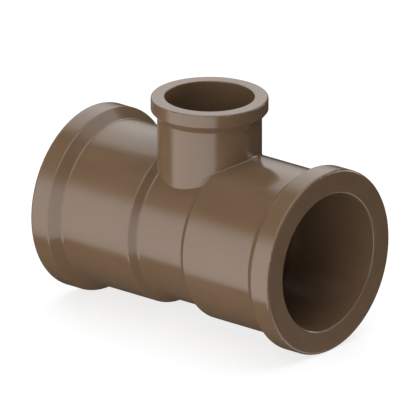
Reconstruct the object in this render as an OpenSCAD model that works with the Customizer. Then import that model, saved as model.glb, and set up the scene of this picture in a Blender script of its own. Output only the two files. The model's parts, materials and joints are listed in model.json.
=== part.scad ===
// Reducing tee for solvent-weld pressure pipe: a 50 mm run with a 32 mm branch,
// moulded in one piece. The run lies along X and the branch points up along Z.
// The origin lies below the branch, level with the underside of the run's collars.

/* [Run] */
// Bore of the run sockets, which take a 50 mm pipe
run_socket_d = 50.3; // [49:0.1:52]
// Depth of each run socket, from its end face to the pipe stop
run_socket_depth = 35.5; // [31:0.5:42]
// Distance from the branch axis to each of the run's pipe stops
run_stop_offset = 20; // [18:0.5:26]
// Bore of the waterway between the run sockets
run_waterway_d = 46; // [42:0.5:48]
// Wall around the run sockets
run_wall = 5.2; // [4:0.1:7]
// Height of the run's collars above the barrel
run_collar_rise = 3.55; // [2:0.05:6]
// Width of the run's collars at their full height
run_collar_width = 8; // [5:0.25:10]
// Length of the sloping shoulder behind each run collar
run_collar_slope = 3.7; // [2:0.1:6]

/* [Waist] */
// Wall of the waist, the thinner middle of the run under the branch
waist_wall = 4.7; // [3.5:0.1:5.5]
// Distance from the branch axis to where the waist's slopes start
waist_half_length = 10.3; // [6:0.1:14]
// Length of the slope from the waist up to the barrel
waist_slope = 2.6; // [1.5:0.1:5]

/* [Branch] */
// Bore of the branch socket, which takes a 32 mm pipe
branch_socket_d = 32.1; // [30:0.1:34]
// Depth of the branch socket, from its end face to the pipe stop
branch_socket_depth = 24; // [22:0.5:32]
// Height of the branch's pipe stop above the run axis
branch_stop_height = 26; // [25:0.5:32]
// Bore of the branch waterway below the pipe stop
branch_waterway_d = 28.2; // [24:0.2:29.4]
// Wall around the branch socket
branch_wall = 2.7; // [2:0.1:4]
// Height of the branch collar above the branch barrel
branch_collar_rise = 2.3; // [1:0.05:4]
// Width of the branch collar at its full height
branch_collar_width = 4.75; // [3:0.25:8]
// Length of the sloping shoulder below the branch collar
branch_collar_slope = 2.6; // [1.5:0.1:5]

/* [Edges] */
// Radius of the outside edges of the run
edge_r = 1; // [0.4:0.1:1.6]
// Radius of the hollow corners where a slope of the run meets a barrel
root_r = 1.3; // [0.4:0.1:1.8]
// Radius of the outside edges of the branch collar
branch_edge_r = 0.6; // [0.3:0.1:1]
// Radius of the hollow corner below the branch collar's slope
branch_root_r = 0.9; // [0.3:0.1:1.5]
// Radius of the edge that leads a pipe into each run socket
run_mouth_r = 0.7; // [0.3:0.1:1.2]
// Radius of the edge that leads a pipe into the branch socket
branch_mouth_r = 0.4; // [0.2:0.1:1]
// Radius of the fillet where the branch grows out of the run
junction_r = 0.6; // [0.4:0.1:1.2]

/* [Hidden] */
$fn = 144;

// Moulded brown of the fitting
body_colour = [0.42, 0.32, 0.25];

// Every cut passes this far beyond the face that it opens
overrun = 2;
// The fillet's own solid reaches this far into the walls that it joins
fillet_sink = 0.12;
fillet_root = 0.5;
// Steps in each rounded edge, and around and across the fillet
arc_steps = 8;
fillet_rings = 120;
fillet_steps = 4;
// Most of a side that the rounding of one of its corners may take
corner_share = 0.48;

run_socket_r = run_socket_d / 2;
run_waterway_r = run_waterway_d / 2;
run_half_length = run_stop_offset + run_socket_depth;
run_barrel_r = run_socket_r + run_wall;
run_collar_r = run_barrel_r + run_collar_rise;
run_collar_start = run_half_length - run_collar_width;
waist_r = run_waterway_r + waist_wall;
waist_end = waist_half_length + waist_slope;

branch_socket_r = branch_socket_d / 2;
branch_waterway_r = branch_waterway_d / 2;
branch_height = branch_stop_height + branch_socket_depth;
branch_barrel_r = branch_socket_r + branch_wall;
branch_collar_r = branch_barrel_r + branch_collar_rise;
branch_collar_start = branch_height - branch_collar_width;

// Height of the run axis above the origin
axis_height = run_collar_r;

function unit(v) = v / norm(v);
function turned(v, angle) = [
    v.x * cos(angle) - v.y * sin(angle),
    v.x * sin(angle) + v.y * cos(angle)
];

// One corner of an outline as points on an arc tangent to both of its sides
function corner_arc(before, corner, after, radius) =
    let (
        back = unit(before - corner),
        ahead = unit(after - corner),
        half_angle = acos(back * ahead) / 2,
        room = corner_share * min(norm(before - corner), norm(after - corner)),
        reach = min(radius / tan(half_angle), room),
        fitted_r = reach * tan(half_angle),
        centre = corner + unit(back + ahead) * fitted_r / sin(half_angle),
        first = corner + back * reach - centre,
        last = corner + ahead * reach - centre,
        sweep = sign(cross(first, last)) * (180 - 2 * half_angle)
    )
    [for (i = [0 : arc_steps]) centre + turned(first, sweep * i / arc_steps)];

// A closed outline from corners [radius from the axis, place along it, corner radius]
function rounded(corners) =
    let (count = len(corners))
    [
        for (i = [0 : count - 1])
            let (
                here = corners[i],
                before = corners[(i + count - 1) % count],
                after = corners[(i + 1) % count]
            )
            each here[2] == 0
                ? [[here.x, here.y]]
                : corner_arc([before.x, before.y], [here.x, here.y], [after.x, after.y], here[2])
    ];

// The same corners on the other side of the middle, in reverse order
function mirrored(corners) = [
    for (i = [len(corners) - 1 : -1 : 0]) [corners[i].x, -corners[i].y, corners[i][2]]
];

// Quarter arc that opens a socket of the given radius at its end face
function mouth_arc(socket_r, mouth_r, end_place) = [
    for (i = [0 : arc_steps])
        let (angle = 90 * i / arc_steps)
        [socket_r + mouth_r * (1 - cos(angle)), end_place - mouth_r * (1 - sin(angle)), 0]
];

// Outside of the run: waist, slopes, barrels and end collars, all turned on one axis
module run_outside() {
    half_corners = [
        [waist_r, waist_half_length, root_r],
        [run_barrel_r, waist_end, edge_r],
        [run_barrel_r, run_collar_start - run_collar_slope, root_r],
        [run_collar_r, run_collar_start, edge_r],
        [run_collar_r, run_half_length, edge_r],
        [0, run_half_length, 0]
    ];
    rotate([0, 90, 0])
        rotate_extrude()
            polygon(rounded(concat(half_corners, mirrored(half_corners))));
}

// Hollow of the run: waterway in the middle and a pipe socket at each end
module run_hollow() {
    half_corners = concat(
        [
            [run_waterway_r, run_stop_offset, 0],
            [run_socket_r, run_stop_offset, 0]
        ],
        mouth_arc(run_socket_r, run_mouth_r, run_half_length),
        [
            [run_socket_r + run_mouth_r, run_half_length + overrun, 0],
            [0, run_half_length + overrun, 0]
        ]
    );
    rotate([0, 90, 0])
        rotate_extrude()
            polygon(rounded(concat(half_corners, mirrored(half_corners))));
}

// Outside of the branch: a plain barrel with a collar at the top, rooted at the run axis
module branch_outside() {
    rotate_extrude()
        polygon(rounded([
            [0, 0, 0],
            [branch_barrel_r, 0, 0],
            [branch_barrel_r, branch_collar_start - branch_collar_slope, branch_root_r],
            [branch_collar_r, branch_collar_start, branch_edge_r],
            [branch_collar_r, branch_height, branch_edge_r],
            [0, branch_height, 0]
        ]));
}

// Hollow of the branch: waterway up to the pipe stop, then the pipe socket
module branch_hollow() {
    rotate_extrude()
        polygon(rounded(concat(
            [
                [0, 0, 0],
                [branch_waterway_r, 0, 0],
                [branch_waterway_r, branch_stop_height, 0],
                [branch_socket_r, branch_stop_height, 0]
            ],
            mouth_arc(branch_socket_r, branch_mouth_r, branch_height),
            [
                [branch_socket_r + branch_mouth_r, branch_height + overrun, 0],
                [0, branch_height + overrun, 0]
            ]
        )));
}

// Outside radius of the run at a place along it, between the collars: the waist, the
// hollow corner at the foot of its slope, the slope, the rounded edge and the barrel
function run_radius(place) =
    let (
        p = abs(place),
        climb = atan2(run_barrel_r - waist_r, waist_slope),
        hollow_start = waist_half_length - root_r * tan(climb / 2),
        hollow_end = hollow_start + root_r * sin(climb),
        edge_end = waist_end + edge_r * tan(climb / 2),
        edge_start = edge_end - edge_r * sin(climb)
    )
    p <= hollow_start
        ? waist_r
        : p < hollow_end
            ? waist_r + root_r - sqrt(root_r * root_r - (p - hollow_start) * (p - hollow_start))
            : p <= edge_start
                ? waist_r + (p - waist_half_length) * tan(climb)
                : p < edge_end
                    ? run_barrel_r - edge_r + sqrt(edge_r * edge_r - (edge_end - p) * (edge_end - p))
                    : run_barrel_r;

// Section of the junction fillet at one angle around the branch: a ball of the
// fillet's radius rests on the branch and on the run, and its arc joins the two
function fillet_section(angle) =
    let (
        ball_x = (branch_barrel_r + junction_r) * cos(angle),
        ball_y = (branch_barrel_r + junction_r) * sin(angle),
        reach = run_radius(ball_x) + junction_r,
        ball_z = sqrt(reach * reach - ball_y * ball_y),
        ball = [ball_x, ball_y, ball_z],
        to_branch = [-cos(angle), -sin(angle), 0],
        to_run = [0, -ball_y, -ball_z] / reach,
        spread = acos(to_branch * to_run)
    )
    concat(
        [ball + (to_branch + to_run) * (junction_r + fillet_root)],
        [ball + to_branch * (junction_r + fillet_sink)],
        [
            for (i = [1 : fillet_steps - 1])
                let (part_angle = spread * i / fillet_steps)
                ball + junction_r
                    * (to_branch * sin(spread - part_angle) + to_run * sin(part_angle))
                    / sin(spread)
        ],
        [ball + to_run * (junction_r + fillet_sink)]
    );

// Fillet between the branch and the run, following the saddle curve over the waist's
// slopes and on to the barrels
module junction_fillet() {
    section_size = fillet_steps + 2;
    points = [
        for (ring = [0 : fillet_rings - 1])
            each fillet_section(360 * ring / fillet_rings)
    ];
    faces = [
        for (ring = [0 : fillet_rings - 1], i = [0 : section_size - 1])
            let (
                here = ring * section_size,
                next = ((ring + 1) % fillet_rings) * section_size,
                j = (i + 1) % section_size
            )
            each [
                [here + i, next + j, here + j],
                [here + i, next + i, next + j]
            ]
    ];
    polyhedron(points, faces);
}

module tee_body() {
    color(body_colour)
        translate([0, 0, axis_height])
            difference() {
                union() {
                    run_outside();
                    branch_outside();
                    junction_fillet();
                }
                run_hollow();
                branch_hollow();
            }
}

tee_body();
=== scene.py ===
import json
import math

import bpy
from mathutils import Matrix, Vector


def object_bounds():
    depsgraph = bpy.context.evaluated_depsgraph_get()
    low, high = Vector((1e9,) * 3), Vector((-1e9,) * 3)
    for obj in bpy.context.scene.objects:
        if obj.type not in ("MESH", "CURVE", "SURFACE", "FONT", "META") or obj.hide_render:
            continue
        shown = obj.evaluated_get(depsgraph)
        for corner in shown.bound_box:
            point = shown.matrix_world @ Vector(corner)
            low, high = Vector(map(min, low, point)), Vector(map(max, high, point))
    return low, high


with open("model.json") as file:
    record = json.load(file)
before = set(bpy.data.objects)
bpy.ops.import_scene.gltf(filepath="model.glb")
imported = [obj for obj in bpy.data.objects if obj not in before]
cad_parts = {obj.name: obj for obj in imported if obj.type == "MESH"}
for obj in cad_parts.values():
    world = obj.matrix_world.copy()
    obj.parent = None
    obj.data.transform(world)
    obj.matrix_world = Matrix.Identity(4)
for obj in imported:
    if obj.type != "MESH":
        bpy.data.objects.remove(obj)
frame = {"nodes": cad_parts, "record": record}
cad_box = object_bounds()

# Camera: where it looks from, in degrees, and how much of the object it takes in
CAMERA_AZIMUTH = 40.25
CAMERA_ELEVATION = 20.08
CAMERA_DISTANCE = 6.0
SENSOR_WIDTH = 36.0
VIEW_WIDTH = 0.1501
# The picture's middle lies this far right of and above the crossing of the tee's axes
AIM_RIGHT = 0.00014
AIM_UP = 0.00637

# Moulded PVC: two close browns that drift through it, and the paler brown of scuffed rims, which
# also paints a highlight along the rims
DARK_BROWN = (0.121, 0.075, 0.043, 1)
LIGHT_BROWN = (0.136, 0.085, 0.050, 1)
SCUFF_AND_SHEEN_BROWN = (0.165, 0.112, 0.076, 1)
ROUGHNESS_LOW = 0.14
ROUGHNESS_HIGH = 0.22
SCUFFED_ROUGHNESS = 0.36
REFRACTION = 1.5

# Marks in the surface: how many to the metre, and how finely each noise is detailed
DRIFT_SCALE, DRIFT_DETAIL = 28, 3
FLOW_STRETCH, FLOW_DETAIL = (22, 170, 170), 3
GRAIN_SCALE, GRAIN_DETAIL = 2400, 2
WAVE_SCALE, WAVE_DETAIL = 75, 1
SCUFF_AND_SHEEN_SCALE, SCUFF_AND_SHEEN_DETAIL = 420, 4
# How high the waves and the grain stand, in metres
WAVE_HEIGHT = 0.00004
GRAIN_HEIGHT = 0.0000012
# What the noises add to the tone and to the gloss, and the range of each sum that is spread out
TONE_DRIFT, TONE_FLOW, TONE_GRAIN = 0.6, 0.4, 0.12
TONE_RANGE = (0.42, 0.70)
GLOSS_FLOW, GLOSS_GRAIN = 0.7, 0.3
GLOSS_RANGE = (0.35, 0.65)
# Scuffs and the painted rim highlight fade out at this distance from the line of a rim, and are
# full in its last share
SCUFF_AND_SHEEN_REACH = 0.0011
SCUFF_AND_SHEEN_FULL_SHARE = 1 / 3
SCUFF_AND_SHEEN_RANGE = (0.52, 0.68)

# Floor and backdrop. The floor ends before the front panel, beyond which it would be dark
FLOOR_SIZE = 1.7
FLOOR_GREY = (0.3, 0.3, 0.3, 1)
FLOOR_GLOW = 0.75
WHITE = (1, 1, 1, 1)
AMBIENT = 0.04

# Places of the colour sockets on a Mix node, whose names several sockets share
COLOUR_A, COLOUR_B, COLOUR_RESULT = 6, 7, 2

# The run's axis and the rims of the three collars, from the frame and the solid
mounts = {mount["name"]: mount for mount in frame["record"]["mounts"]}
AXIS_HEIGHT = mounts["run_socket_right"]["pos_m"][2]
RUN_END = cad_box[1][0]
BRANCH_TOP = cad_box[1][2]
# The tee rests on its run collars, so their radius is the height of the axis
RUN_RIM_RADIUS = AXIS_HEIGHT
# The widest point of the solid within this distance of its top lies on the branch's rim
RIM_DEPTH = 0.003
BRANCH_RIM_RADIUS = max(
    math.hypot(vertex.co.x, vertex.co.y)
    for vertex in bpy.data.objects["tee_body"].data.vertices
    if vertex.co.z > BRANCH_TOP - RIM_DEPTH
)


def direction(azimuth, elevation):
    """Unit vector towards a place in the sky, with azimuth 0 at -Y and 90 at +X."""
    a, e = math.radians(azimuth), math.radians(elevation)
    return Vector((math.sin(a) * math.cos(e), -math.cos(a) * math.cos(e), math.sin(e)))


def make_camera():
    back = direction(CAMERA_AZIMUTH, CAMERA_ELEVATION)
    right = direction(CAMERA_AZIMUTH + 90, 0)
    up = back.cross(right)
    aim = Vector((0, 0, AXIS_HEIGHT)) + right * AIM_RIGHT + up * AIM_UP
    data = bpy.data.cameras.new("camera")
    data.sensor_width = SENSOR_WIDTH
    data.lens = SENSOR_WIDTH * CAMERA_DISTANCE / VIEW_WIDTH
    data.clip_end = CAMERA_DISTANCE * 2
    camera = bpy.data.objects.new("camera", data)
    camera.location = aim + back * CAMERA_DISTANCE
    camera.rotation_euler = (-back).to_track_quat("-Z", "Y").to_euler()
    bpy.context.scene.collection.objects.link(camera)
    bpy.context.scene.camera = camera


def math_node(tree, operation, *values):
    """A Math node. Each value is a number or the output of another node."""
    node = tree.nodes.new("ShaderNodeMath")
    node.operation = operation
    for socket, value in zip(node.inputs, values):
        if isinstance(value, (int, float)):
            socket.default_value = value
        else:
            tree.links.new(value, socket)
    return node.outputs[0]


def weighted_sum(tree, *terms):
    """Sum of node outputs, each given with the number that it is multiplied by."""
    products = [math_node(tree, "MULTIPLY", value, weight) for value, weight in terms]
    total = products[0]
    for product in products[1:]:
        total = math_node(tree, "ADD", total, product)
    return total


def hypotenuse(tree, first, second):
    squares = [math_node(tree, "MULTIPLY", side, side) for side in (first, second)]
    return math_node(tree, "SQRT", math_node(tree, "ADD", *squares))


def remap(tree, value, from_range, to_range=(0, 1), smooth=False):
    """Maps a range of values to another range, and holds its ends beyond it."""
    node = tree.nodes.new("ShaderNodeMapRange")
    node.interpolation_type = "SMOOTHSTEP" if smooth else "LINEAR"
    node.inputs["From Min"].default_value, node.inputs["From Max"].default_value = from_range
    node.inputs["To Min"].default_value, node.inputs["To Max"].default_value = to_range
    tree.links.new(value, node.inputs["Value"])
    return node.outputs["Result"]


def noise(tree, place, scale, detail):
    """Noise from 0 to 1, of so many marks to the metre."""
    node = tree.nodes.new("ShaderNodeTexNoise")
    node.inputs["Scale"].default_value = scale
    node.inputs["Detail"].default_value = detail
    tree.links.new(place, node.inputs["Vector"])
    return node.outputs["Fac"]


def stretched(tree, place, stretch):
    """The place multiplied along each axis."""
    mapping = tree.nodes.new("ShaderNodeMapping")
    mapping.inputs["Scale"].default_value = stretch
    tree.links.new(place, mapping.inputs["Vector"])
    return mapping.outputs["Vector"]


def separated(tree, vector):
    split = tree.nodes.new("ShaderNodeSeparateXYZ")
    tree.links.new(vector, split.inputs[0])
    return split.outputs["X"], split.outputs["Y"], split.outputs["Z"]


def mix_colours(tree, share, first, second):
    """Blends two colours. Each is four numbers or the output of another node."""
    node = tree.nodes.new("ShaderNodeMix")
    node.data_type = "RGBA"
    tree.links.new(share, node.inputs[0])
    for place, colour in ((COLOUR_A, first), (COLOUR_B, second)):
        if isinstance(colour, tuple):
            node.inputs[place].default_value = colour
        else:
            tree.links.new(colour, node.inputs[place])
    return node.outputs[COLOUR_RESULT]


def rim_distance(tree, along, end, across, radius):
    """Distance from a surface point to the round line where a collar's end face turns over."""
    return hypotenuse(tree, math_node(tree, "SUBTRACT", along, end),
                      math_node(tree, "SUBTRACT", across, radius))


def scuff_and_sheen_share(tree, place):
    """How scuffed the surface is: broken patches along the outer rims of the three collars, whose
    paler brown also paints a highlight on the rims.
    """
    x, y, z = separated(tree, place)
    height = math_node(tree, "SUBTRACT", z, AXIS_HEIGHT)
    from_run_rim = rim_distance(tree, math_node(tree, "ABSOLUTE", x), RUN_END,
                                hypotenuse(tree, y, height), RUN_RIM_RADIUS)
    from_branch_rim = rim_distance(tree, height, BRANCH_TOP - AXIS_HEIGHT,
                                   hypotenuse(tree, x, y), BRANCH_RIM_RADIUS)
    nearest = math_node(tree, "MINIMUM", from_run_rim, from_branch_rim)
    near = remap(tree, nearest, (SCUFF_AND_SHEEN_REACH, SCUFF_AND_SHEEN_REACH * SCUFF_AND_SHEEN_FULL_SHARE), smooth=True)
    patches = noise(tree, place, SCUFF_AND_SHEEN_SCALE, SCUFF_AND_SHEEN_DETAIL)
    return math_node(tree, "MULTIPLY", near, remap(tree, patches, SCUFF_AND_SHEEN_RANGE, smooth=True))


def make_material():
    """Brown rigid PVC as it leaves the mould: satin, with drifting colour, flow marks, a faint
    grain and waviness that bend the reflections, and small scuffs on the rims, whose paler
    brown also paints a highlight along them."""
    material = bpy.data.materials.new("brown_pvc")
    material.use_nodes = True
    tree = material.node_tree
    shader = tree.nodes["Principled BSDF"]
    shader.inputs["IOR"].default_value = REFRACTION
    place = tree.nodes.new("ShaderNodeTexCoord").outputs["Object"]

    drift = noise(tree, place, DRIFT_SCALE, DRIFT_DETAIL)
    flow = noise(tree, stretched(tree, place, FLOW_STRETCH), 1, FLOW_DETAIL)
    grain = noise(tree, place, GRAIN_SCALE, GRAIN_DETAIL)
    waves = noise(tree, place, WAVE_SCALE, WAVE_DETAIL)
    scuffs_and_sheen = scuff_and_sheen_share(tree, place)

    tone = weighted_sum(tree, (drift, TONE_DRIFT), (flow, TONE_FLOW), (grain, TONE_GRAIN))
    brown = mix_colours(tree, remap(tree, tone, TONE_RANGE), DARK_BROWN, LIGHT_BROWN)
    # Paler brown on the rims: partly scuffs, partly a painted highlight along the rounded rims
    tree.links.new(mix_colours(tree, scuffs_and_sheen, brown, SCUFF_AND_SHEEN_BROWN), shader.inputs["Base Color"])

    gloss = weighted_sum(tree, (flow, GLOSS_FLOW), (grain, GLOSS_GRAIN))
    clean_roughness = remap(tree, gloss, GLOSS_RANGE, (ROUGHNESS_LOW, ROUGHNESS_HIGH))
    scuffed_roughness = math_node(tree, "MULTIPLY", scuffs_and_sheen, SCUFFED_ROUGHNESS)
    roughness = math_node(tree, "MAXIMUM", clean_roughness, scuffed_roughness)
    tree.links.new(roughness, shader.inputs["Roughness"])

    bump = tree.nodes.new("ShaderNodeBump")
    bump.inputs["Distance"].default_value = 1.0
    heights = weighted_sum(tree, (waves, WAVE_HEIGHT), (grain, GRAIN_HEIGHT))
    tree.links.new(heights, bump.inputs["Height"])
    tree.links.new(bump.outputs["Normal"], shader.inputs["Normal"])
    return material


def make_floor():
    """Pale floor that carries on into the white backdrop and keeps the tee's soft shadow."""
    bpy.ops.mesh.primitive_plane_add(size=FLOOR_SIZE)
    floor = bpy.context.object
    floor.name = "floor"
    material = bpy.data.materials.new("floor")
    material.use_nodes = True
    tree = material.node_tree
    tree.nodes.clear()
    out = tree.nodes.new("ShaderNodeOutputMaterial")
    add = tree.nodes.new("ShaderNodeAddShader")
    diffuse = tree.nodes.new("ShaderNodeBsdfDiffuse")
    diffuse.inputs["Color"].default_value = FLOOR_GREY
    glow = tree.nodes.new("ShaderNodeEmission")
    path = tree.nodes.new("ShaderNodeLightPath")
    seen_glow = math_node(tree, "MULTIPLY", path.outputs["Is Camera Ray"], FLOOR_GLOW)
    tree.links.new(seen_glow, glow.inputs["Strength"])
    tree.links.new(diffuse.outputs[0], add.inputs[0])
    tree.links.new(glow.outputs[0], add.inputs[1])
    tree.links.new(add.outputs[0], out.inputs["Surface"])
    floor.data.materials.append(material)
    # The floor throws no light up at the tee and lets the low panel's light through
    floor.visible_glossy = False
    floor.visible_diffuse = False
    floor.visible_shadow = False


def make_world():
    """White to the camera and nearly dark to the tee, which the panels light."""
    world = bpy.data.worlds.new("studio")
    world.use_nodes = True
    tree = world.node_tree
    background = tree.nodes["Background"]
    background.inputs["Color"].default_value = WHITE
    path = tree.nodes.new("ShaderNodeLightPath")
    strength = remap(tree, path.outputs["Is Camera Ray"], (0, 1), (AMBIENT, 1))
    tree.links.new(strength, background.inputs["Strength"])
    bpy.context.scene.world = world


def fade(tree, place, near, far):
    """Strength along a side of a panel: it rises over the near share and falls over the far one."""
    rise = remap(tree, place, (0, near), smooth=True)
    fall = remap(tree, place, (1, 1 - far), smooth=True)
    return math_node(tree, "MULTIPLY", rise, fall)


def make_panel(name, centre, facing, width, height, radiance, soft):
    """A soft box. Its centre is given from the crossing of the tee's axes, and soft says how much
    of its left, right, bottom and top fades out, each as a share of its side."""
    data = bpy.data.lights.new(name, "AREA")
    data.shape = "RECTANGLE"
    data.size = width
    data.size_y = height
    data.energy = radiance * math.pi * width * height
    data.use_nodes = True
    tree = data.node_tree
    on_panel = tree.nodes.new("ShaderNodeNewGeometry").outputs["Parametric"]
    across, up, _ = separated(tree, on_panel)
    left, right, bottom, top = soft
    strength = math_node(tree, "MULTIPLY", fade(tree, across, left, right),
                         fade(tree, up, bottom, top))
    tree.links.new(strength, tree.nodes["Emission"].inputs["Strength"])
    panel = bpy.data.objects.new(name, data)
    panel.location = Vector((0, 0, AXIS_HEIGHT)) + Vector(centre)
    panel.rotation_euler = (-Vector(facing)).to_track_quat("Z", "Y").to_euler()
    panel.visible_camera = False
    bpy.context.scene.collection.objects.link(panel)


def make_lights():
    # Tall window to the front, which draws the wide bright band along the run
    make_panel("key", centre=(0.05, -0.9, -0.08), facing=(0, 1, 0),
               width=2.8, height=1.76, radiance=2.38, soft=(0.22, 0.18, 0.04, 0.32))
    make_panel("ceiling", centre=(0.1, 0, 0.9), facing=(0, 0, -1),
               width=1.2, height=2.7, radiance=1.75, soft=(0.15, 0.1, 0.1, 0.1))
    # Sloping sky behind on the left, for the sheen on top of the run
    make_panel("sky", centre=(-0.885, 0.57, 0.43), facing=(0.604, -0.52, -0.6),
               width=1.4, height=1.43, radiance=1.85, soft=(0.15, 0.15, 0.68, 0.1))
    # Low panel to the right, for the end face
    make_panel("side", centre=(0.775, 0.361, -0.769), facing=(-0.674, -0.314, 0.669),
               width=1.5, height=0.85, radiance=2.1, soft=(0.3, 0.3, 0.3, 0.3))
    # Bright strip behind on the right, for the lines of light on the rounded rims
    make_panel("rim", centre=(0.505, 0.95, 0.229), facing=(-0.459, -0.864, -0.208),
               width=0.95, height=0.36, radiance=4.6, soft=(0.2, 0.2, 0.2, 0.2))


make_camera()
material = make_material()
for node in frame["nodes"]:
    slots = bpy.data.objects[node].data.materials
    slots.clear()
    slots.append(material)
make_floor()
make_world()
make_lights()
bpy.context.scene.view_settings.view_transform = "Standard"
